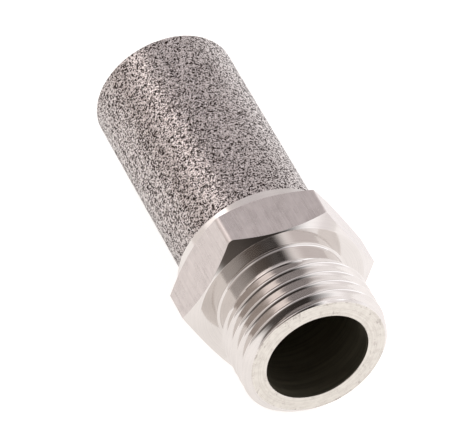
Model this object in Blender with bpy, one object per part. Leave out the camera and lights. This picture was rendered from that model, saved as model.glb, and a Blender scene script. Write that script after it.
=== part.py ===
"""Screw-in pneumatic muffler: a turned hexagon fitting with a sintered metal cup pressed into its back.

Both pieces are turned about their own Z axis, with Z counted from the end that air comes in at. The empty
muffler_axis then lays them along +Y, on one flat of the hexagon, with the stud towards -Y.
"""

import math

import bmesh
import bpy
from mathutils import Matrix, Vector

MM = 0.001

# Stud: 1/2 inch parallel pipe thread, right-handed.
THREAD_MAJOR = 20.955 * MM
THREAD_PITCH = 25.4 / 14 * MM
THREAD_DEPTH_PER_PITCH = 0.640327   # 55 degree thread form
THREAD_FLANK_ANGLE = math.radians(27.5)
THREAD_LENGTH = 8.0 * MM            # end face to the last full crest
FIRST_CREST = 1.556 * MM            # end face to the first crest on top of the stud
CUTTER_OVERHANG = 0.1 * MM          # thread cutter beyond the crests
STUD_LENGTH = 12.35 * MM            # end face to the sealing shoulder
STUD_WALL = 1.75 * MM               # between the relief groove and the air bore
LEAD_CHAMFER = 0.8 * MM
MOUTH_CHAMFER = 0.35 * MM
GROOVE_CLEARANCE = 0.3 * MM         # groove floor below the root of the thread
GROOVE_FILLET = 0.4 * MM

# Hexagon and the round collar behind it.
HEX_LENGTH = 6.9 * MM
HEX_CHAMFER_ANGLE = math.radians(30)
SHOULDER_MARGIN = 0.2 * MM          # sealing shoulder inside the flats
COLLAR_MARGIN = 0.15 * MM           # collar inside the flats
COLLAR_LENGTH = 1.45 * MM
COLLAR_WALL = 1.325 * MM
COLLAR_EDGE = 0.2 * MM

# Sintered cup and its seat in the collar.
CUP_OUTSIDE = 20.45 * MM
CUP_WALL = 2.75 * MM
CUP_END_WALL = 3.0 * MM
CUP_OUTER_EDGE = 0.5 * MM
CUP_INNER_EDGE = 1.5 * MM
CUP_LEAD = 0.4 * MM
SEAT_DEPTH = 6.0 * MM
SEAT_GAP = 0.3 * MM
OVERALL_LENGTH = 55.3 * MM

ROUND_SEGMENTS = 96
FILLET_SEGMENTS = 4
SMOOTH_BELOW = math.radians(25)
WELD_DISTANCE = 0.005 * MM

# Sizes that follow from the ones above.
thread_radius = THREAD_MAJOR / 2
thread_depth = THREAD_DEPTH_PER_PITCH * THREAD_PITCH
root_radius = thread_radius - thread_depth
groove_radius = root_radius - GROOVE_CLEARANCE
bore_radius = groove_radius - STUD_WALL
cup_radius = CUP_OUTSIDE / 2
cup_bore_radius = cup_radius - CUP_WALL
seat_radius = cup_radius + SEAT_GAP
collar_radius = seat_radius + COLLAR_WALL
hex_apothem = collar_radius + COLLAR_MARGIN
hex_corner_radius = hex_apothem / math.cos(math.pi / 6)
shoulder_radius = hex_apothem - SHOULDER_MARGIN
body_length = STUD_LENGTH + HEX_LENGTH + COLLAR_LENGTH
seat_station = body_length - SEAT_DEPTH
cup_length = OVERALL_LENGTH - seat_station - SEAT_GAP


def clear_scene():
    for existing in list(bpy.data.objects):
        bpy.data.objects.remove(existing, do_unlink=True)


def metal(name, colour, roughness):
    material = bpy.data.materials.new(name)
    material.use_nodes = True
    shader = material.node_tree.nodes["Principled BSDF"]
    shader.inputs["Base Color"].default_value = (*colour, 1.0)
    shader.inputs["Metallic"].default_value = 1.0
    shader.inputs["Roughness"].default_value = roughness
    return material


def rounded(before, corner, after, radius):
    """Points of the arc that rounds a corner of a turned outline."""
    corner = Vector(corner)
    into = (Vector(before) - corner).normalized()
    out = (Vector(after) - corner).normalized()
    half_angle = into.angle(out) / 2
    centre = corner + (into + out).normalized() * radius / math.sin(half_angle)
    start = corner + into * radius / math.tan(half_angle) - centre
    end = corner + out * radius / math.tan(half_angle) - centre
    sweep = start.angle_signed(end)
    return [centre + Matrix.Rotation(-sweep * step / FILLET_SEGMENTS, 2) @ start
            for step in range(FILLET_SEGMENTS + 1)]


def outline_points(corners):
    """Corners are (radius, station) or (radius, station, fillet)."""
    points = []
    for index, corner in enumerate(corners):
        here = corner[:2]
        if len(corner) == 3:
            before = corners[index - 1][:2]
            after = corners[(index + 1) % len(corners)][:2]
            points.extend(rounded(before, here, after, corner[2]))
        else:
            points.append(Vector(here))
    return points


def new_object(name, bm, parent):
    mesh = bpy.data.meshes.new(name)
    bm.to_mesh(mesh)
    bm.free()
    obj = bpy.data.objects.new(name, mesh)
    bpy.context.collection.objects.link(obj)
    obj.parent = parent
    return obj


def new_cutter(name, bm, parent):
    cutter = new_object(name, bm, parent)
    cutter.hide_render = True
    cutter.display_type = 'WIRE'
    return cutter


def turned(name, corners, parent):
    """Spin a closed outline of radius against station round the Z axis."""
    bm = bmesh.new()
    points = outline_points(corners)
    ring = [bm.verts.new((point.x, 0, point.y)) for point in points]
    edges = []
    for index, vert in enumerate(ring):
        following = ring[(index + 1) % len(ring)]
        on_axis = vert.co.x == 0 and following.co.x == 0
        if not on_axis:
            edges.append(bm.edges.new((vert, following)))
    bmesh.ops.spin(bm, geom=ring + edges, cent=(0, 0, 0), axis=(0, 0, 1), angle=math.tau,
                   steps=ROUND_SEGMENTS, use_merge=True)
    bmesh.ops.remove_doubles(bm, verts=bm.verts, dist=0.001 * MM)
    bmesh.ops.recalc_face_normals(bm, faces=bm.faces)
    return new_object(name, bm, parent)


def hexagon_bar(name, parent):
    """Bar stock that the fitting is turned from, with corners on the X axis so that a flat faces down."""
    bm = bmesh.new()
    overhang = HEX_LENGTH
    corners = [Vector((math.cos(turn), math.sin(turn), 0)) * hex_corner_radius
               for turn in (math.tau * side / 6 for side in range(6))]
    base = bm.faces.new([bm.verts.new(corner - Vector((0, 0, overhang))) for corner in corners])
    raised = bmesh.ops.extrude_face_region(bm, geom=[base])["geom"]
    top = [item for item in raised if isinstance(item, bmesh.types.BMVert)]
    bmesh.ops.translate(bm, verts=top, vec=(0, 0, body_length + 2 * overhang))
    bmesh.ops.recalc_face_normals(bm, faces=bm.faces)
    return new_cutter(name, bm, parent)


def thread_cutter(name, parent):
    """Helical bar that fills the groove between thread crests, from before the end face to the relief groove.

    It is swept half a segment out of step with the stud's facets, so that their edges never coincide.
    """
    lean = math.tan(THREAD_FLANK_ANGLE)
    root_half = (THREAD_PITCH / 2 - thread_depth * lean) / 2
    top_half = root_half + (thread_depth + CUTTER_OVERHANG) * lean
    top_radius = thread_radius + CUTTER_OVERHANG
    start_angle = math.pi / ROUND_SEGMENTS
    turns_from_top = (math.pi / 2 + start_angle) / math.tau
    root_station = FIRST_CREST + THREAD_PITCH * (turns_from_top + 0.5)
    start = root_station - THREAD_PITCH * math.ceil((root_station + top_half) / THREAD_PITCH)
    end = THREAD_LENGTH + thread_depth + root_half + GROOVE_CLEARANCE
    steps = math.ceil((end - start) / THREAD_PITCH * ROUND_SEGMENTS)
    section = [
        (root_radius, -root_half),
        (top_radius, -top_half),
        (top_radius, top_half),
        (root_radius, root_half),
    ]
    bm = bmesh.new()
    to_start = Matrix.Rotation(start_angle, 3, 'Z')
    corners = [to_start @ Vector((radius, 0, start + offset)) for radius, offset in section]
    face = bm.faces.new([bm.verts.new(corner) for corner in corners])
    bmesh.ops.spin(bm, geom=[face], cent=(0, 0, 0), axis=(0, 0, 1), angle=math.tau * steps / ROUND_SEGMENTS,
                   dvec=(0, 0, THREAD_PITCH / ROUND_SEGMENTS), steps=steps)
    bmesh.ops.recalc_face_normals(bm, faces=bm.faces)
    return new_cutter(name, bm, parent)


def boolean(obj, name, operation, cutter):
    modifier = obj.modifiers.new(name, 'BOOLEAN')
    modifier.operation = operation
    modifier.solver = 'EXACT'
    modifier.object = cutter


def finish_round(obj, material):
    obj.data.materials.append(material)
    obj.data.shade_smooth()
    obj.data.set_sharp_from_angle(angle=SMOOTH_BELOW)


def threaded_body(parent):
    """Everything the lathe cuts, wide enough at the hexagon for the bar's flats to be left standing."""
    blank_radius = hex_corner_radius + COLLAR_MARGIN
    slope = math.tan(HEX_CHAMFER_ANGLE)
    shoulder = STUD_LENGTH
    collar_start = STUD_LENGTH + HEX_LENGTH
    groove_start = THREAD_LENGTH + thread_radius - groove_radius
    outline = [
        (bore_radius + MOUTH_CHAMFER, 0),
        (thread_radius - LEAD_CHAMFER, 0),
        (thread_radius, LEAD_CHAMFER),
        (thread_radius, THREAD_LENGTH),
        (groove_radius, groove_start),
        (groove_radius, shoulder, GROOVE_FILLET),
        (shoulder_radius, shoulder),
        (blank_radius, shoulder + (blank_radius - shoulder_radius) * slope),
        (blank_radius, collar_start - (blank_radius - collar_radius) * slope),
        (collar_radius, collar_start),
        (collar_radius, body_length - COLLAR_EDGE),
        (collar_radius - COLLAR_EDGE, body_length),
        (seat_radius + COLLAR_EDGE, body_length),
        (seat_radius, body_length - COLLAR_EDGE),
        (seat_radius, seat_station),
        (bore_radius, seat_station),
        (bore_radius, MOUTH_CHAMFER),
    ]
    body = turned("threaded_body", outline, parent)
    boolean(body, "hexagon flats", 'INTERSECT', hexagon_bar("hexagon_bar", parent))
    boolean(body, "thread groove", 'DIFFERENCE', thread_cutter("thread_cutter", parent))
    weld = body.modifiers.new("clean corners", 'WELD')
    weld.merge_threshold = WELD_DISTANCE
    finish_round(body, metal("turned stainless steel", (0.62, 0.59, 0.57), 0.3))
    return body


def sintered_cup(parent):
    """Seamless porous cup, drawn from its open end and placed against the seat in the body."""
    floor_station = cup_length - CUP_END_WALL
    outline = [
        (cup_bore_radius, 0),
        (cup_radius - CUP_LEAD, 0),
        (cup_radius, CUP_LEAD),
        (cup_radius, cup_length, CUP_OUTER_EDGE),
        (0, cup_length),
        (0, floor_station),
        (cup_bore_radius, floor_station, CUP_INNER_EDGE),
    ]
    cup = turned("sintered_cup", outline, parent)
    cup.location = (0, 0, seat_station + SEAT_GAP)
    finish_round(cup, metal("sintered stainless steel", (0.43, 0.40, 0.39), 0.7))
    return cup


def main():
    clear_scene()
    axis = bpy.data.objects.new("muffler_axis", None)
    bpy.context.collection.objects.link(axis)
    axis.location = (0, -OVERALL_LENGTH / 2, hex_apothem)
    axis.rotation_euler = (-math.pi / 2, 0, 0)
    threaded_body(axis)
    sintered_cup(axis)


main()
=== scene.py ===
# Pneumatic muffler over its CAD frame: a turned hexagon fitting that holds a sintered metal cup.
import math

import bmesh
import bpy
import numpy as np
from mathutils import Matrix, Vector


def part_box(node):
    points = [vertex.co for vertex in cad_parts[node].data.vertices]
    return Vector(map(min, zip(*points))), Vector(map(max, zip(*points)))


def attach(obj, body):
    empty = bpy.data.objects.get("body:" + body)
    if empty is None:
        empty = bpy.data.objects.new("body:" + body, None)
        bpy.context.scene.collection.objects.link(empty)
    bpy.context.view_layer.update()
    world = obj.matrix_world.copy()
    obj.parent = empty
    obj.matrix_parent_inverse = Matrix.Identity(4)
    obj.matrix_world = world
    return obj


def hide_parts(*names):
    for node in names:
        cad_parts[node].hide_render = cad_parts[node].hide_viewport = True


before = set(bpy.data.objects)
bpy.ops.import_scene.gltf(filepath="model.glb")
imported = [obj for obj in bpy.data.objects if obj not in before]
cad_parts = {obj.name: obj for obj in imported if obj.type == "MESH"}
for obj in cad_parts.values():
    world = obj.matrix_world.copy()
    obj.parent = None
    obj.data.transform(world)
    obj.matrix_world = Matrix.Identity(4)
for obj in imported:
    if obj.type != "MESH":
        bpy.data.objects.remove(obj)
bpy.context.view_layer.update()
mm = 0.001
mergeDistance = 0.0005 * mm     # points closer than this become one
sliverEdge = 0.0002 * mm        # edges shorter than this are dissolved

bodyLow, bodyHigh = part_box("threaded_body")
cupLow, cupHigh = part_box("sintered_cup")
axisHeight = (bodyLow.z + bodyHigh.z) / 2
studEnd = bodyLow.y             # stations are counted along +Y from here
print("frame loaded:", ", ".join(sorted(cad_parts)))


# One node socket that can stand in a Python expression.
class Wire:
    def __init__(self, tree, socket=None):
        self.tree = tree
        self.socket = socket

    def node(self, kind, settings=None, values=None, output=0):
        made = self.tree.nodes.new(kind)
        for name, value in (settings or {}).items():
            if name == "stops":
                setStops(made.color_ramp, value)
            else:
                setattr(made, name, value)
        for name, value in (values or {}).items():
            if isinstance(value, Wire):
                self.tree.links.new(value.socket, made.inputs[name])
            else:
                made.inputs[name].default_value = value
        return Wire(self.tree, made.outputs[output])

    def other(self, output):
        return Wire(self.tree, self.socket.node.outputs[output])

    def math(self, operation, *values):
        return self.node("ShaderNodeMath", {"operation": operation}, dict(enumerate(values)))

    def vector(self, operation, *values, output=0):
        return self.node("ShaderNodeVectorMath", {"operation": operation}, dict(enumerate(values)), output)

    def split(self):
        parts = self.node("ShaderNodeSeparateXYZ", None, {0: self})
        return parts, parts.other(1), parts.other(2)

    def ramp(self, low, high, toLow=0.0, toHigh=1.0, shape="SMOOTHSTEP"):
        values = {"Value": self, "From Min": low, "From Max": high, "To Min": toLow, "To Max": toHigh}
        return self.node("ShaderNodeMapRange", {"interpolation_type": shape}, values)

    def tint(self, first, second):      # this value picks between two colours
        values = {0: self, 6: first, 7: second}
        return self.node("ShaderNodeMix", {"data_type": "RGBA"}, values, 2)

    def noise(self, scale, detail=2.0, roughness=0.5, output=0):
        values = {"Vector": self, "Scale": scale, "Detail": detail, "Roughness": roughness}
        return self.node("ShaderNodeTexNoise", None, values, output)

    def cells(self, scale, feature, output="Distance"):
        values = {"Vector": self, "Scale": scale}
        return self.node("ShaderNodeTexVoronoi", {"feature": feature}, values, output)

    def __add__(self, other):
        return self.math("ADD", self, other)

    def __radd__(self, other):
        return self.math("ADD", other, self)

    def __sub__(self, other):
        return self.math("SUBTRACT", self, other)

    def __rsub__(self, other):
        return self.math("SUBTRACT", other, self)

    def __mul__(self, other):
        return self.math("MULTIPLY", self, other)

    def __rmul__(self, other):
        return self.math("MULTIPLY", other, self)

    def __truediv__(self, other):
        return self.math("DIVIDE", self, other)

    def __rtruediv__(self, other):
        return self.math("DIVIDE", other, self)


def setStops(ramp, stops):
    while len(ramp.elements) < len(stops):
        ramp.elements.new(1.0)
    for element, (position, colour) in zip(ramp.elements, stops):
        element.position = position
        element.color = colour


def newFinish(name, constants):
    material = bpy.data.materials.new(name)
    material.use_nodes = True
    shader = material.node_tree.nodes["Principled BSDF"]
    for socket, value in constants.items():
        shader.inputs[socket].default_value = value
    return material, Wire(material.node_tree), shader


def feed(shader, **sockets):
    names = {"colour": "Base Color", "roughness": "Roughness", "glow": "Emission Color", "normal": "Normal"}
    for key, wire in sockets.items():
        wire.tree.links.new(wire.socket, shader.inputs[names[key]])


# Node trees with one named number input for each size.
def newTree(name, sizes):
    tree = bpy.data.node_groups.new(name, "GeometryNodeTree")
    tree.interface.new_socket(name="Geometry", in_out="INPUT", socket_type="NodeSocketGeometry")
    for size in sizes:
        tree.interface.new_socket(name=size, in_out="INPUT", socket_type="NodeSocketFloat")
    tree.interface.new_socket(name="Geometry", in_out="OUTPUT", socket_type="NodeSocketGeometry")
    start = Wire(tree).node("NodeGroupInput")
    return tree, start, {size: start.other(size) for size in sizes}


def closeTree(tree, shape, finishes):
    shape = shape.node("GeometryNodeRealizeInstances", None, {"Geometry": shape})
    picked = shape.node("GeometryNodeInputNamedAttribute", {"data_type": "INT"}, {"Name": "finish"})
    for index, material in enumerate(finishes):
        chosen = shape.node("FunctionNodeCompare", {"data_type": "INT", "operation": "EQUAL"},
                            {2: picked, 3: index})
        shape = shape.node("GeometryNodeSetMaterial", None,
                           {"Geometry": shape, "Selection": chosen, "Material": material})
    end = tree.nodes.new("NodeGroupOutput")
    tree.links.new(shape.socket, end.inputs["Geometry"])


# Runs the tree on the object and leaves a plain mesh behind.
def runTree(piece, tree, sizes):
    modifier = piece.modifiers.new(tree.name, "NODES")
    modifier.node_group = tree
    for item in tree.interface.items_tree:
        if item.in_out == "INPUT" and item.name in sizes:
            modifier[item.identifier] = sizes[item.name]
    evaluated = piece.evaluated_get(bpy.context.evaluated_depsgraph_get())
    plain = bpy.data.meshes.new_from_object(evaluated)
    piece.modifiers.clear()
    blank = piece.data
    piece.data = plain
    bpy.data.meshes.remove(blank)
    plain.name = piece.name


# Turned shapes: rows of points round the axis, each with a radius and a station at every column.
def rowPoints(turn, radius, station):
    radius = np.broadcast_to(radius, turn.shape)
    station = np.broadcast_to(station, turn.shape)
    return np.stack([radius * np.sin(turn), studEnd + station, axisHeight + radius * np.cos(turn)], axis=-1)


def unit(vectors):
    return vectors / np.linalg.norm(vectors, axis=-1, keepdims=True)


# Rows for a corner of the outline: an arc with a row held close on either side, so that flats stay flat.
def cornerRows(before, corner, after, fillet, steps, hold):
    into = unit(before - corner)
    out = unit(after - corner)
    half = np.arccos(np.sum(into * out, axis=-1, keepdims=True)) / 2
    reach = fillet / np.tan(half)
    centre = corner + unit(into + out) * fillet / np.sin(half)
    first = corner + into * reach - centre
    last = corner + out * reach - centre
    sweep = math.pi - 2 * half
    rows = [corner + into * (reach + hold)]
    for step in range(steps + 1):
        share = step / steps
        swing = (np.sin((1 - share) * sweep) * first + np.sin(share * sweep) * last) / np.sin(sweep)
        rows.append(centre + swing)
    rows.append(corner + out * (reach + hold))
    return rows


# corners: (radius, station, fillet, finish of the strip that follows)
def outlineRows(turn, corners, steps, hold):
    spots = [np.stack([np.broadcast_to(value, turn.shape) for value in corner[:2]], axis=-1)
             for corner in corners]
    rows = []
    for index, (corner, spot) in enumerate(zip(corners, spots)):
        fillet, finish = corner[2:]
        if fillet:
            made = cornerRows(spots[index - 1], spot, spots[index + 1], fillet, steps, hold)
            earlier = corners[index - 1][3]
            half = len(made) // 2
            rows += [(row, earlier if number < half else finish) for number, row in enumerate(made)]
        else:
            rows.append((spot, finish))
    return rows


def gridFaces(first, rows, columns):
    faces = []
    for row in range(rows - 1):
        for column in range(columns):
            right = (column + 1) % columns
            low = first + row * columns
            faces.append((low + column, low + columns + column, low + columns + right, low + right))
    return faces


# Merges what coincides, turns faces outwards and keeps the finish number of each face.
def cleanMesh(name, points, faces, finishes):
    mesh = bpy.data.meshes.new(name)
    mesh.from_pydata(points.tolist(), [], faces)
    mesh.attributes.new("finish", "INT", "FACE").data.foreach_set("value", finishes)
    work = bmesh.new()
    work.from_mesh(mesh)
    bmesh.ops.remove_doubles(work, verts=work.verts, dist=mergeDistance)
    bmesh.ops.dissolve_degenerate(work, edges=work.edges, dist=sliverEdge)
    bmesh.ops.recalc_face_normals(work, faces=work.faces)
    for face in work.faces:
        face.smooth = True
    work.to_mesh(mesh)
    work.free()
    piece = bpy.data.objects.new(name, mesh)
    bpy.context.scene.collection.objects.link(piece)
    return piece


def markPoints(mesh, name, chosen):
    mesh.attributes.new(name, "BOOLEAN", "POINT").data.foreach_set("value", chosen.tolist())


def meshPoints(mesh):
    flat = np.empty(len(mesh.vertices) * 3)
    mesh.vertices.foreach_get("co", flat)
    points = flat.reshape(-1, 3)
    radius = np.hypot(points[:, 0], points[:, 2] - axisHeight)
    return radius, points[:, 1] - studEnd


# Fitting: stud with thread, relief groove, hexagon and collar, in one turned piece.
fitting = {
    "threadMajor": 20.955 * mm,
    "threadPitch": 25.4 / 14 * mm,
    "depthOverPitch": 0.640327,
    "tipOverPitch": 0.137329,       # radius of crests and roots
    "flankAngle": math.radians(27.5),
    "tipSteps": 3,                  # rows on each side of a crest or root
    "flankSteps": 4,
    "firstCrest": 1.556 * mm,       # a crest on top of the stud
    "firstTurn": -2,                # rows of the helix begin two turns before it
    "threadLength": 8.0 * mm,
    "leadChamfer": 0.8 * mm,
    "studLength": 12.35 * mm,
    "grooveClearance": 0.3 * mm,
    "grooveFillet": 0.4 * mm,
    "studWall": 1.75 * mm,
    "mouthChamfer": 0.05 * mm,
    "shoulderMargin": 0.2 * mm,
    "chamferAngle": math.radians(30),
    "hexLength": 6.9 * mm,
    # Rounding of each corner of the hexagon, the last being the most worn.
    "corners": [0.4 * mm, 0.15 * mm, 0.3 * mm, 0.3 * mm, 0.15 * mm, 1.15 * mm],
    # Columns at a corner, over the reach of its rounding, and how far the even columns stay away.
    "cornerColumns": (-1.08, -1.0, -0.8, -0.6, -0.4, -0.2, 0, 0.2, 0.4, 0.6, 0.8, 1.0, 1.08),
    "cornerClear": 1.3,
    "collarMargin": 0.15 * mm,
    "collarEdge": 0.2 * mm,
    "seatDepth": 6.0 * mm,
    "pressGap": 0.02 * mm,
    "brokenEdge": 0.06 * mm,
    "edgeSteps": 4,
    "hold": 0.02 * mm,              # from an edge to the row held beside it
    "touch": 0.001 * mm,            # a point this close to the stud's surface is on it
    "sharpAngle": math.radians(32),
}
flatFinish, faceFinish, roundFinish, boreFinish, endFaceFinish = range(5)
halfSide = math.pi / 6      # half the angle that one side of the hexagon takes


def fittingSizes():
    size = dict(fitting)
    size["threadRadius"] = size["threadMajor"] / 2
    size["rootRadius"] = size["threadRadius"] - size["depthOverPitch"] * size["threadPitch"]
    size["leadRadius"] = size["threadRadius"] - size["leadChamfer"]
    size["tipRadius"] = size["tipOverPitch"] * size["threadPitch"]
    size["tipEdge"] = size["tipRadius"] * math.cos(size["flankAngle"])
    size["grooveRadius"] = size["rootRadius"] - size["grooveClearance"]
    size["grooveStart"] = size["threadLength"] + size["threadRadius"] - size["grooveRadius"]
    size["boreRadius"] = size["grooveRadius"] - size["studWall"]
    size["apothem"] = (bodyHigh.z - bodyLow.z) / 2
    size["shoulderRadius"] = size["apothem"] - size["shoulderMargin"]
    size["collarRadius"] = size["apothem"] - size["collarMargin"]
    size["bodyLength"] = bodyHigh.y - bodyLow.y
    size["seatRadius"] = (cupHigh.z - cupLow.z) / 2 + size["pressGap"]
    return size


# Angle from a corner of the hexagon to where its rounding meets the flat.
def cornerReach(size, rounding):
    centre = (size["apothem"] - rounding) * math.tan(halfSide)
    return halfSide - np.arctan(centre / size["apothem"])


# Rounding of the corner that each angle belongs to.
def cornerRounding(turn, size):
    side = np.floor(turn / (2 * halfSide)).astype(int) % 6
    return np.array(size["corners"])[side]


# Even columns round the part, a degree apart, and closer at the six rounded corners of the hexagon.
def fittingColumns(size):
    degrees = []
    for side, rounding in enumerate(size["corners"]):
        reach = math.degrees(cornerReach(size, rounding))
        corner = 30 + 60 * side     # degrees from the middle of the top flat
        clear = reach * size["cornerClear"]
        degrees += [corner + share * reach for share in size["cornerColumns"]]
        degrees += [float(step) for step in range(corner - 30, corner + 30) if abs(step - corner) > clear]
    return np.radians(sorted(degrees))


def hexagonRadius(turn, size):
    fromFlat = np.abs((turn + halfSide) % (2 * halfSide) - halfSide)
    flat = size["apothem"] / np.cos(fromFlat)
    fromCorner = halfSide - fromFlat
    rounding = cornerRounding(turn, size)
    centre = (size["apothem"] - rounding) / math.cos(halfSide)
    inside = rounding ** 2 - (centre * np.sin(fromCorner)) ** 2
    arc = centre * np.cos(fromCorner) + np.sqrt(np.maximum(inside, 0))
    return np.where(fromCorner < cornerReach(size, rounding), arc, flat)


# Offsets along the axis, within one pitch, where the thread form bends.
def threadOffsets(size):
    half = size["threadPitch"] / 2
    edge = size["tipEdge"]
    tip = [edge * ((step + 1) / size["tipSteps"]) for step in range(size["tipSteps"])]
    flank = np.linspace(edge, half - edge, size["flankSteps"] + 1)[1:-1]
    crest = [-value for value in reversed(tip)] + [0] + tip
    falling = list(flank) + [half - value for value in reversed(tip)]
    rising = [-value for value in reversed(falling)]
    return np.array([-half] + rising + crest + falling)


# Stud rows follow the helix, and stop at the end face and at the groove.
def studGrid(turn, size):
    pitch = size["threadPitch"]
    offsets = threadOffsets(size)
    perTurn = len(offsets)
    turns = math.ceil(size["grooveStart"] / pitch) + 1 - size["firstTurn"]
    starts = [[size["firstCrest"] + pitch * (size["firstTurn"] + row // perTurn) + offsets[row % perTurn]]
              for row in range(turns * perTurn + 1)]
    station = np.clip(np.array(starts) + pitch * turn / math.tau, 0, size["grooveStart"])
    radius = np.minimum(size["leadRadius"] + station, size["threadRadius"])
    radius = np.minimum(radius, size["threadRadius"] - (station - size["threadLength"]))
    points = [rowPoints(turn, *row) for row in zip(radius, station)]
    rows, columns = station.shape
    faces = []
    for row in range(rows - 1):
        for column in range(columns):
            right = column + 1
            lowRight, highRight = row, row + 1
            if right == columns:        # one turn on is one pitch further along
                right = 0
                lowRight = min(row + perTurn, rows - 1)
                highRight = min(row + 1 + perTurn, rows - 1)
            faces.append((row * columns + column, (row + 1) * columns + column,
                          highRight * columns + right, lowRight * columns + right))
    return points, faces


def fittingBlank(size):
    turn = fittingColumns(size)
    points, faces = studGrid(turn, size)
    finishes = [roundFinish] * len(faces)
    slope = math.tan(size["chamferAngle"])
    hexRadius = hexagonRadius(turn, size)
    shoulder = size["studLength"]
    collarStart = shoulder + size["hexLength"]
    edge = size["brokenEdge"]
    end = size["bodyLength"]
    corners = [
        (size["grooveRadius"], size["grooveStart"], 0, faceFinish),
        (size["grooveRadius"], shoulder, size["grooveFillet"], faceFinish),
        (size["shoulderRadius"], shoulder, edge, faceFinish),
        (hexRadius, shoulder + (hexRadius - size["shoulderRadius"]) * slope, edge, flatFinish),
        (hexRadius, collarStart - (hexRadius - size["collarRadius"]) * slope, edge, faceFinish),
        (size["collarRadius"], collarStart, edge, roundFinish),
        (size["collarRadius"], end - size["collarEdge"], edge, faceFinish),
        (size["collarRadius"] - size["collarEdge"], end, edge, faceFinish),
        (size["seatRadius"] + size["collarEdge"], end, edge, faceFinish),
        (size["seatRadius"], end - size["collarEdge"], 0, boreFinish),
        (size["seatRadius"], end - size["seatDepth"], 0, boreFinish),
        (size["boreRadius"], end - size["seatDepth"], 0, boreFinish),
        (size["boreRadius"], size["mouthChamfer"], 0, endFaceFinish),
        (size["boreRadius"] + size["mouthChamfer"], 0, 0, endFaceFinish),
        (size["rootRadius"] - size["hold"], 0, 0, endFaceFinish),
        (size["leadRadius"], 0, 0, endFaceFinish),
    ]
    rows = outlineRows(turn, corners, size["edgeSteps"], size["hold"])
    faces += gridFaces(len(points) * len(turn), len(rows), len(turn))
    points += [rowPoints(turn, row[:, 0], row[:, 1]) for row, finish in rows]
    finishes += [finish for row, finish in rows[:-1] for column in turn]
    return cleanMesh("threadedBody", np.concatenate(points), faces, finishes)


# The thread cutter: lowers stud points to a rounded thread form that follows the helix.
def threadTree(names, finishes):
    tree, start, size = newTree("threadCutter", names)
    x, y, z = start.node("GeometryNodeInputPosition").split()
    up = z - size["axisHeight"]
    radius = x.math("SQRT", x * x + up * up)
    turned = x.math("ARCTAN2", x, up) / math.tau
    along = y - size["studEnd"] - size["firstCrest"] - size["pitch"] * turned
    half = size["pitch"] / 2
    fromCrest = along.math("ABSOLUTE", along.math("WRAP", along, half, half * -1))
    fromRoot = half - fromCrest

    def tipRise(distance):      # height of the rounded tip's circle above its centre
        inside = size["tipRadius"] * size["tipRadius"] - distance * distance
        return inside.math("SQRT", inside.math("MAXIMUM", inside, 0.0))

    crest = size["majorRadius"] - size["tipRadius"] + tipRise(fromCrest)
    root = size["rootRadius"] + size["tipRadius"] - tipRise(fromRoot)
    middle = (size["majorRadius"] + size["rootRadius"]) / 2
    flank = middle - size["flankSlope"] * (fromCrest - half / 2)
    onCrest = fromCrest.math("LESS_THAN", fromCrest, size["tipEdge"])
    onRoot = fromRoot.math("LESS_THAN", fromRoot, size["tipEdge"])
    form = flank + onCrest * (crest - flank) + onRoot * (root - flank)
    share = form.math("MINIMUM", radius, form) / radius
    moved = x.node("ShaderNodeCombineXYZ", None, {0: x * share, 1: y, 2: size["axisHeight"] + up * share})
    stud = x.node("GeometryNodeInputNamedAttribute", {"data_type": "BOOLEAN"}, {"Name": "stud"})
    shape = start.node("GeometryNodeSetPosition", None,
                       {"Geometry": start, "Selection": stud, "Position": moved})
    closeTree(tree, shape, finishes)
    return tree


def makeFitting(finishes):
    size = fittingSizes()
    piece = fittingBlank(size)
    radius, station = meshPoints(piece.data)
    blank = np.minimum(size["leadRadius"] + station, size["threadRadius"])
    onStud = radius > np.minimum(blank, size["rootRadius"]) - size["touch"]
    markPoints(piece.data, "stud", onStud & (station < size["threadLength"] + size["leadChamfer"]))
    cutter = {
        "pitch": size["threadPitch"],
        "majorRadius": size["threadRadius"],
        "rootRadius": size["rootRadius"],
        "tipRadius": size["tipRadius"],
        "flankSlope": 1 / math.tan(size["flankAngle"]),
        "tipEdge": size["tipEdge"],
        "firstCrest": size["firstCrest"],
        "axisHeight": axisHeight,
        "studEnd": studEnd,
    }
    runTree(piece, threadTree(cutter, finishes), cutter)
    piece.data.set_sharp_from_angle(angle=size["sharpAngle"])
    return piece


# Cup: a closed barrel pressed and sintered from metal powder.
cup = {
    "wall": 2.75 * mm,
    "endWall": 3.0 * mm,
    "outerEdge": 0.15 * mm,
    "outerSteps": 4,
    "innerEdge": 1.5 * mm,
    "innerSteps": 6,
    "lead": 0.4 * mm,
    "columns": 360,
    "fineStep": 0.178 * mm,         # between rows of the skin
    "skinOverlap": 0.3 * mm,        # the skin's rows start this far inside the collar
    "grain": 0.138 * mm,
    "wander": 0.035 * mm,           # how far pores stray from grain borders
    "strayScale": 1.7,              # for each grain
    "strayDetail": (2.0, 0.55),
    "finePores": {"perGrain": 1.0, "least": -1.2, "most": 0.95},
    "coarsePores": {"perGrain": 0.62, "least": -1.0, "most": 0.93},
    "poreRim": (-0.03, 0.05),
    "poreDepth": 0.03 * mm,
    "seed": 3.0,
    "edgeShare": 0.999,             # points within this share of the outer edge are in the skin
    "touch": 0.01 * mm,             # and so are points this close to the closed end
}
sinterFinish, insideFinish = range(2)


def cupSizes():
    radius = (cupHigh.z - cupLow.z) / 2
    return {"radius": radius, "bore": radius - cup["wall"], "openEnd": cupLow.y - studEnd,
            "closedEnd": cupHigh.y - studEnd, "collarEnd": bodyHigh.y - studEnd}


def sameOnAxes(wire, value):
    return wire.node("ShaderNodeCombineXYZ", None, {0: value, 1: value, 2: value})


def centred(colour):
    return colour.vector("SUBTRACT", colour, (0.5, 0.5, 0.5))


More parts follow.
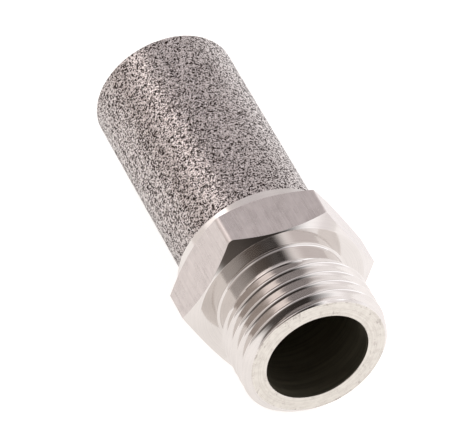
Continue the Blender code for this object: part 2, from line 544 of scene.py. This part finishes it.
# One pore in each cell, from none at all to the largest.
def poreCells(place, grain, pores):
    fromPore = place.cells(pores["perGrain"] / grain, "F1")
    chance = fromPore.other("Color").split()[0]
    size = chance.ramp(0.0, 1.0, pores["least"], pores["most"], "LINEAR")
    return (size - fromPore).ramp(*cup["poreRim"])


# How open the sintered skin is: 0 on a flattened grain, 1 in a pore.
def poreField(place, grain, wander, seed):
    shifted = place.vector("ADD", place, sameOnAxes(place, seed))
    stray = centred(shifted.noise(cup["strayScale"] / grain, *cup["strayDetail"], output=1))
    strayed = stray.vector("MULTIPLY_ADD", stray, sameOnAxes(stray, wander), shifted)
    fine = poreCells(strayed, grain, cup["finePores"])
    coarse = poreCells(strayed, grain, cup["coarsePores"])
    return fine.math("MAXIMUM", fine, coarse), strayed


# Rows run from the open end over the outside to the middle of the closed end, and back along the inside.
def cupBlank(size):
    turn = np.arange(cup["columns"]) * math.tau / cup["columns"]
    columns = len(turn)
    radius, bore = size["radius"], size["bore"]
    openEnd, closedEnd = size["openEnd"], size["closedEnd"]
    floor = closedEnd - cup["endWall"]
    edge, inner = cup["outerEdge"], cup["innerEdge"]

    hidden = [(bore, openEnd), (radius - cup["lead"], openEnd), (radius, openEnd + cup["lead"])]
    first, last = size["collarEnd"] - cup["skinOverlap"], closedEnd - edge
    steps = round((last - first) / cup["fineStep"])
    skin = [(radius, station) for station in np.linspace(first, last, steps + 1)]
    for step in range(1, cup["outerSteps"] + 1):
        swing = math.pi / 2 * step / cup["outerSteps"]
        skin.append((radius - edge + edge * math.cos(swing), last + edge * math.sin(swing)))
    steps = round((radius - edge) / cup["fineStep"])
    skin += [(ring, closedEnd) for ring in np.linspace(radius - edge, 0, steps + 1)[1:-1]]
    inside = [(0, closedEnd), (0, floor), ((bore - inner) / 2, floor)]
    for step in range(cup["innerSteps"] + 1):
        swing = math.pi / 2 * step / cup["innerSteps"]
        inside.append((bore - inner + inner * math.sin(swing), floor - inner + inner * math.cos(swing)))
    inside += [(bore, (floor + openEnd) / 2), (bore, openEnd)]

    rows = hidden + skin + inside
    kinds = [insideFinish] * len(hidden) + [sinterFinish] * len(skin) + [insideFinish] * len(inside)
    points = np.concatenate([rowPoints(turn, *row) for row in rows])
    faces = []
    finishes = []
    for number in range(len(rows) - 1):
        if rows[number][0] or rows[number + 1][0]:      # no faces along the axis itself
            faces += gridFaces(number * columns, 2, columns)
            finishes += [kinds[number]] * columns
    return cleanMesh("sinteredCup", points, faces, finishes)


# The skin: keeps where each point was for the finish, then sinks the pores into the wall.
def skinTree(names, finishes):
    tree, start, size = newTree("sinteredSkin", names)
    place = start.node("GeometryNodeInputPosition")
    kept = start.node("GeometryNodeStoreNamedAttribute", {"data_type": "FLOAT_VECTOR", "domain": "POINT"},
                      {"Geometry": start, "Name": "restPlace", "Value": place})
    opening = poreField(place, size["grain"], size["wander"], size["seed"])[0]
    normal = start.node("GeometryNodeInputNormal")
    sunk = start.node("ShaderNodeVectorMath", {"operation": "SCALE"},
                      {0: normal, "Scale": opening * size["poreDepth"] * -1})
    skin = start.node("GeometryNodeInputNamedAttribute", {"data_type": "BOOLEAN"}, {"Name": "skin"})
    shape = start.node("GeometryNodeSetPosition", None, {"Geometry": kept, "Selection": skin, "Offset": sunk})
    closeTree(tree, shape, finishes)
    return tree


def makeCup(finishes):
    size = cupSizes()
    piece = cupBlank(size)
    radius, station = meshPoints(piece.data)
    onWall = radius > size["radius"] - cup["outerEdge"] * cup["edgeShare"]
    onEnd = station > size["closedEnd"] - cup["touch"]
    markPoints(piece.data, "skin", (onWall | onEnd) & (station > size["collarEnd"]))
    skin = {name: cup[name] for name in ("grain", "wander", "poreDepth", "seed")}
    runTree(piece, skinTree(skin, finishes), skin)
    return piece


# Finishes of the fitting. Scales are per metre, details are a noise's detail and roughness, and a bump is
# its strength and distance. A tone lies between dark and light, and roughness between its two limits.
steel = {
    "drawn": {
        "dark": (0.493, 0.451, 0.437, 1),
        "light": (0.706, 0.65, 0.633, 1),
        "lines": {"scales": (6500.0, 110.0, 6500.0), "detail": (3.0, 0.6)},
        "patches": {"scales": (900.0, 520.0, 900.0), "detail": (2.0, 0.55)},
        "lineShare": 0.5,
        "contrast": (0.31, 0.69),
        "roughness": (0.25, 0.32),
        "bump": (0.2, 0.002 * mm),
    },
    "faced": {
        "dark": (0.685, 0.653, 0.631, 1),
        "light": (0.735, 0.702, 0.68, 1),
        "rings": 6500.0,
        "cloud": 380.0,
        "ringShare": 0.6,
        "roughness": (0.065, 0.115),
        "bump": (0.15, 0.004 * mm),
    },
    "end": {
        "dark": (0.634, 0.6, 0.554, 1),
        "light": (0.761, 0.727, 0.675, 1),
        "rings": 4200.0,
        "cloud": 900.0,
        "ringShare": 0.4,
        "contrast": (0.36, 0.64),
        "mark": (0.36, 0.325, 0.30, 1),
        "nicks": {"scales": (1500.0, 1500.0, 1000.0), "detail": (3.0, 0.6)},
        "nickLimits": (0.60, 0.74),
        "rim": (8.6 * mm, 9.7 * mm),    # nicks gather between these radii
        "rimWear": 0.10,
        "markShade": 0.6,
        "markDepth": 0.5,
        "roughness": (0.26, 0.36),
        "bump": (0.3, 0.006 * mm),
    },
    "turned": {
        "dark": (0.685, 0.653, 0.631, 1),
        "light": (0.735, 0.702, 0.68, 1),
        "feedMarks": {"scales": (90.0, 6000.0, 90.0), "detail": (2.0, 0.5)},
        "cloud": 420.0,
        "feedShare": 0.5,
        "roughness": (0.09, 0.14),
        "bump": (0.5, 0.004 * mm),
    },
    # The bore: its steel is painted far darker than the rest of the piece, a painted shade for the deep hole,
    # with a brown tint.
    "drilled": {
        "dark": (0.27, 0.248, 0.192, 1),
        "light": (0.355, 0.327, 0.252, 1),
        "feedMarks": {"scales": (120.0, 3500.0, 120.0), "detail": (2.0, 0.5)},
        "roughness": (0.40, 0.53),
        "bump": (0.3, 0.01 * mm),
    },
}
noiseLimits = (0.3, 0.7)        # most of any noise lies between these


def bumped(height, strength, distance):
    return height.node("ShaderNodeBump", None, {"Height": height, "Strength": strength, "Distance": distance})


def objectPlace(wire):
    return wire.node("ShaderNodeTexCoord", None, None, "Object")


# Noise drawn out along one axis or another.
def streaks(place, look):
    return place.vector("MULTIPLY", place, look["scales"]).noise(1.0, *look["detail"])


def fromAxis(place):
    x, y, z = place.split()
    up = z - axisHeight
    return x.math("SQRT", x * x + up * up), y


# Tool rings: they change with the radius and along the axis, never round the part.
def rings(place, fineness):
    radius, along = fromAxis(place)
    values = {"W": radius + along, "Scale": fineness}
    return radius.node("ShaderNodeTexNoise", {"noise_dimensions": "1D"}, values)


# Flats keep the long fine lines of drawn bar.
def drawnFinish():
    look = steel["drawn"]
    material, wire, shader = newFinish("drawnSteel", {"Metallic": 1.0})
    place = objectPlace(wire)
    patches = streaks(place, look["patches"])
    mixed = streaks(place, look["lines"]) * look["lineShare"] + patches * (1 - look["lineShare"])
    tone = mixed.ramp(*look["contrast"], shape="LINEAR")
    feed(shader, colour=tone.tint(look["dark"], look["light"]),
         roughness=patches.ramp(*noiseLimits, *look["roughness"]),
         normal=bumped(mixed, *look["bump"]))
    return material


# Shoulder and chamfers carry rings from the facing tool.
def facedFinish():
    look = steel["faced"]
    material, wire, shader = newFinish("facedSteel", {"Metallic": 1.0})
    place = objectPlace(wire)
    grooves = rings(place, look["rings"])
    cloud = place.noise(look["cloud"])
    tone = (grooves * look["ringShare"] + cloud * (1 - look["ringShare"])).ramp(*noiseLimits)
    feed(shader, colour=tone.tint(look["dark"], look["light"]),
         roughness=cloud.ramp(*noiseLimits, *look["roughness"]),
         normal=bumped(grooves, *look["bump"]))
    return material


# The stud's end face is paler and duller, with small marks from handling.
def endFinish():
    look = steel["end"]
    material, wire, shader = newFinish("endSteel", {"Metallic": 1.0})
    place = objectPlace(wire)
    grooves = rings(place, look["rings"])
    cloud = place.noise(look["cloud"])
    worn = fromAxis(place)[0].ramp(*look["rim"], 0.0, look["rimWear"])
    marks = (streaks(place, look["nicks"]) + worn).ramp(*look["nickLimits"])
    tone = (grooves * look["ringShare"] + cloud * (1 - look["ringShare"])).ramp(*look["contrast"])
    clean = tone.tint(look["dark"], look["light"])
    feed(shader, colour=(marks * look["markShade"]).tint(clean, look["mark"]),
         roughness=cloud.ramp(*noiseLimits, *look["roughness"]),
         normal=bumped(grooves - marks * look["markDepth"], *look["bump"]))
    return material


# Round surfaces carry the feed marks of the tool along the axis.
def turnedFinish():
    look = steel["turned"]
    material, wire, shader = newFinish("turnedSteel", {"Metallic": 1.0})
    place = objectPlace(wire)
    feedMarks = streaks(place, look["feedMarks"])
    cloud = place.noise(look["cloud"])
    tone = (feedMarks * look["feedShare"] + cloud * (1 - look["feedShare"])).ramp(*noiseLimits)
    feed(shader, colour=tone.tint(look["dark"], look["light"]),
         roughness=cloud.ramp(*noiseLimits, *look["roughness"]),
         normal=bumped(feedMarks, *look["bump"]))
    return material


# Bore of the fitting: feed marks on steel painted dark as the shade of the deep hole.
def drilledFinish():
    look = steel["drilled"]
    material, wire, shader = newFinish("drilledSteel", {"Metallic": 1.0})
    feedMarks = streaks(objectPlace(wire), look["feedMarks"])
    feed(shader, colour=feedMarks.ramp(*noiseLimits).tint(look["dark"], look["light"]),
         roughness=feedMarks.ramp(*noiseLimits, *look["roughness"]),
         normal=bumped(feedMarks, *look["bump"]))
    return material


# Finishes of the cup: flattened grains that glint one by one, with pores between them painted dark as shade,
# and an inside painted dark as the shade deep in the cup.
sinter = {
    "grainsPerPore": 1.2,
    "grainLight": (0.715, 0.667, 0.653, 1),
    "grainDark": (0.43, 0.379, 0.363, 1),
    "grainShare": 0.6,              # of the tone, and the rest is fine noise
    "contrast": (0.25, 0.75),
    "fineNoise": (8000.0, 2.0, 0.6),
    # Pore colour: near black, a painted shade down in the pores, which are sunk only a little.
    "pore": (0.03, 0.017, 0.013, 1),
    "roughness": (0.15, 0.7),       # on a grain and in a pore
    "tilt": 0.26,                   # how much each grain leans
    "fineHeight": 0.016 * mm,
    "poreHeight": 0.03 * mm,
    "bump": (0.7, 1.0),
    # The cup's inside is painted near black in places, a painted shade for the depth of the barrel.
    "inside": {
        "dark": (0.03, 0.027, 0.025, 1),
        "light": (0.3, 0.28, 0.27, 1),
        "speckle": (2600.0, 3.0, 0.6),
        "contrast": (0.4, 0.6),
        "roughness": (0.75, 0.6),
        "bump": (0.8, 0.2 * mm),
    },
}


def sinteredFinish():
    material, wire, shader = newFinish("sinteredSteel", {"Metallic": 1.0})
    place = wire.node("ShaderNodeAttribute", {"attribute_name": "restPlace"}, None, "Vector")
    opening, strayed = poreField(place, cup["grain"], cup["wander"], cup["seed"])
    grain = strayed.cells(sinter["grainsPerPore"] / cup["grain"], "F1", "Color")
    fine = place.noise(*sinter["fineNoise"])
    shade = grain.split()[0] * sinter["grainShare"] + fine * (1 - sinter["grainShare"])
    tone = shade.ramp(*sinter["contrast"]).tint(sinter["grainDark"], sinter["grainLight"])
    fromCentre = strayed.vector("SUBTRACT", strayed, grain.other("Position"))
    lean = grain.vector("DOT_PRODUCT", centred(grain), fromCentre, output="Value")
    height = lean * sinter["tilt"] + fine * sinter["fineHeight"] - opening * sinter["poreHeight"]
    # The pores take the painted shade colour over the grain tone.
    feed(shader, colour=opening.tint(tone, sinter["pore"]),
         roughness=opening.ramp(0.0, 1.0, *sinter["roughness"], "LINEAR"),
         normal=bumped(height, *sinter["bump"]))
    return material


# The cup's inside: a speckle painted dark as the shade deep in the barrel.
def cupInsideFinish():
    look = sinter["inside"]
    material, wire, shader = newFinish("sinteredInside", {"Metallic": 1.0})
    speckle = objectPlace(wire).noise(*look["speckle"])
    feed(shader, colour=speckle.ramp(*look["contrast"]).tint(look["dark"], look["light"]),
         roughness=speckle.ramp(*noiseLimits, *look["roughness"]),
         normal=bumped(speckle, *look["bump"]))
    return material


# Studio: a light tent with white walls and table, a dim ceiling, and a dark gap where the camera looks in.
# Wall stops are in degrees, once round from the back over the left, the front and the right.
studio = {
    "floorSide": 2.0,
    "floorFront": 0.12,         # the table ends short of the gap
    "floorColour": (0.45, 0.44, 0.43, 1),
    "floorRoughness": 0.9,
    "floorGlow": 0.85,
    "floorLight": (1, 0.98, 0.965, 1),
    "floorRight": (1.10, 1.09, 1.10, 1),
    "floorTurn": (0.008, 0.028),        # metres across, where the right side's light takes over
    "backdrop": (1, 1, 1, 1),
    "wallGlow": 1.97,
    "wallLight": [
        (-180, (0.53, 0.50, 0.505)), (-153, (0.45, 0.42, 0.412)), (-132, (0.50, 0.465, 0.45)),
        (-121, (0.26, 0.23, 0.212)), (-100, (0.29, 0.258, 0.24)), (-78, (0.44, 0.41, 0.40)),
        (-55, (0.42, 0.40, 0.39)), (26, (0.78, 0.77, 0.78)), (33, (0.78, 0.77, 0.78)),
        (42, (0.52, 0.494, 0.499)), (60, (0.52, 0.499, 0.499)), (88, (0.84, 0.85, 0.88)),
        (112, (0.80, 0.805, 0.83)), (135, (0.39, 0.37, 0.37)), (155, (0.43, 0.405, 0.41)),
        (180, (0.53, 0.50, 0.505)),
    ],
    "wallTop": [
        (-180, 49), (-157, 49), (-147, 62), (-115, 64), (-90, 60), (-30, 52), (15, 52), (60, 64), (112, 64),
        (145, 48), (165, 49), (180, 49),
    ],
    "topEdge": math.radians(10),
    "ceiling": (0.20, 0.187, 0.19, 1),
    "gapPale": (0.085, 0.073, 0.066, 1),
    "gapDeep": (0.02, 0.017, 0.0155, 1),
    "gapShade": (math.radians(-35), math.radians(5)),
    "gapLeft": math.radians(-47),
    "gapRight": math.radians(26.5),
    "gapTop": math.radians(57),
    "leftEdge": math.radians(15),
    "rightEdge": math.radians(13),
    "upperEdge": math.radians(9),
    "skirt": (0.56, 0.545, 0.535, 1),   # pale cloth that hangs in front of the table
    "skirtHeights": (math.radians(-1), math.radians(-11)),
    "patches": {
        "softBox": {"sides": (-151, -110), "heights": (44, 68), "edge": 4, "glow": (0.72, 0.67, 0.655, 1)},
        "halo": {"sides": (-150, -134), "heights": (19, 42), "edge": 4, "glow": (0.71, 0.67, 0.655, 1)},
        "lamp": {"sides": (-153, -142), "heights": (31, 43), "edge": 3, "glow": (1.2, 1.13, 1.10, 1)},
    },
}


def tentLight(wire):
    x, y, z = wire.node("ShaderNodeTexCoord", None, None, "Generated").split()
    around = x.math("ARCTAN2", x, y * -1)       # from the front, to the right
    height = z.math("ARCSINE", z)
    share = around / math.tau + 0.5
    lightStops = [(turn / 360 + 0.5, (*colour, 1)) for turn, colour in studio["wallLight"]]
    topStops = [(turn / 360 + 0.5, (top / 90, top / 90, top / 90, 1)) for turn, top in studio["wallTop"]]
    walls = share.node("ShaderNodeValToRGB", {"stops": lightStops}, {0: share})
    top = share.node("ShaderNodeValToRGB", {"stops": topStops}, {0: share}) * (math.pi / 2)
    edge = studio["topEdge"]
    above = (height - top).ramp(-edge, edge)
    leftEdge, rightEdge, upperEdge = studio["leftEdge"], studio["rightEdge"], studio["upperEdge"]
    inGap = (around.ramp(studio["gapLeft"] - leftEdge, studio["gapLeft"] + leftEdge) *
             around.ramp(studio["gapRight"] + rightEdge, studio["gapRight"] - rightEdge) *
             height.ramp(studio["gapTop"] + upperEdge, studio["gapTop"] - upperEdge, shape="LINEAR"))
    gap = around.ramp(*studio["gapShade"]).tint(studio["gapPale"], studio["gapDeep"])
    lit = inGap.tint(above.tint(walls, studio["ceiling"]), gap)
    lit = height.ramp(*studio["skirtHeights"]).tint(lit, studio["skirt"])
    for patch in studio["patches"].values():
        left, right = (math.radians(side) for side in patch["sides"])
        foot, head = (math.radians(side) for side in patch["heights"])
        edge = math.radians(patch["edge"])
        inside = (around.ramp(left - edge, left + edge) * around.ramp(right + edge, right - edge) *
                  height.ramp(foot - edge, foot + edge) * height.ramp(head + edge, head - edge))
        lit = inside.tint(lit, patch["glow"])
    return lit


def makeTable():
    mesh = bpy.data.meshes.new("floor")
    side, front = studio["floorSide"], studio["floorFront"]
    corners = [(x, y, bodyLow.z) for x, y in ((-side, -front), (side, -front), (side, side), (-side, side))]
    mesh.from_pydata(corners, [], [(0, 1, 2, 3)])
    floor = bpy.data.objects.new("floor", mesh)
    bpy.context.scene.collection.objects.link(floor)
    material, wire, shader = newFinish("paleTable", {
        "Base Color": studio["floorColour"], "Roughness": studio["floorRoughness"],
        "Specular IOR Level": 0.0, "Emission Strength": studio["floorGlow"]})
    across = objectPlace(wire).split()[0].ramp(*studio["floorTurn"])
    feed(shader, glow=across.tint(studio["floorLight"], studio["floorRight"]))
    mesh.materials.append(material)


# The tent lights the part, and the camera sees plain white behind it.
def makeTent():
    world = bpy.data.worlds.new("lightTent")
    bpy.context.scene.world = world
    world.use_nodes = True
    tree = world.node_tree
    tree.nodes.clear()
    wire = Wire(tree)
    seen = wire.node("ShaderNodeLightPath", None, None, "Is Camera Ray")
    tent = wire.node("ShaderNodeBackground", None, {"Color": tentLight(wire), "Strength": studio["wallGlow"]})
    white = wire.node("ShaderNodeBackground", None, {"Color": studio["backdrop"]})
    both = wire.node("ShaderNodeMixShader", None, {0: seen, 1: tent, 2: white})
    output = tree.nodes.new("ShaderNodeOutputWorld")
    tree.links.new(both.socket, output.inputs["Surface"])


# Camera at the photo's angle, worked out for a frame of 471 by 436 pixels.
shot = {
    "azimuth": math.radians(-21.14),
    "elevation": math.radians(44.58),
    "roll": math.radians(-1.12),
    "distance": 677.6 * mm,
    "sensorWidth": 36,
    "frameWidth": 471,
    "focalPixels": 5000,
    "aimRight": -0.534 * mm,
    "aimUp": 0.455 * mm,
}


def makeCamera(centre):
    azimuth, elevation, roll = shot["azimuth"], shot["elevation"], shot["roll"]
    back = Vector((math.sin(azimuth) * math.cos(elevation), -math.cos(azimuth) * math.cos(elevation),
                   math.sin(elevation)))
    level = Vector((math.cos(azimuth), math.sin(azimuth), 0))
    plumb = back.cross(level)
    right = level * math.cos(roll) + plumb * math.sin(roll)
    up = plumb * math.cos(roll) - level * math.sin(roll)
    data = bpy.data.cameras.new("camera")
    data.sensor_width = shot["sensorWidth"]
    data.lens = shot["focalPixels"] * shot["sensorWidth"] / shot["frameWidth"]
    camera = bpy.data.objects.new("camera", data)
    bpy.context.scene.collection.objects.link(camera)
    camera.location = centre + right * shot["aimRight"] + up * shot["aimUp"] + back * shot["distance"]
    turn = [[right[row], up[row], back[row]] for row in range(3)]
    camera.rotation_euler = Matrix(turn).to_euler()
    bpy.context.scene.camera = camera


makeCamera(Vector((0, (bodyLow.y + cupHigh.y) / 2, axisHeight)))
print("camera placed")

body = makeFitting([drawnFinish(), facedFinish(), turnedFinish(), drilledFinish(), endFinish()])
print("fitting turned:", len(body.data.polygons), "faces")

barrel = makeCup([sinteredFinish(), cupInsideFinish()])
print("cup sintered:", len(barrel.data.polygons), "faces")

stands = ((body, "threaded_body", "turned_steel"), (barrel, "sintered_cup", "sintered_steel"))
for piece, node, slot in stands:
    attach(piece, "root")
    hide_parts(node)

makeTable()
makeTent()
bpy.context.scene.view_settings.view_transform = "Standard"
print("studio lit")
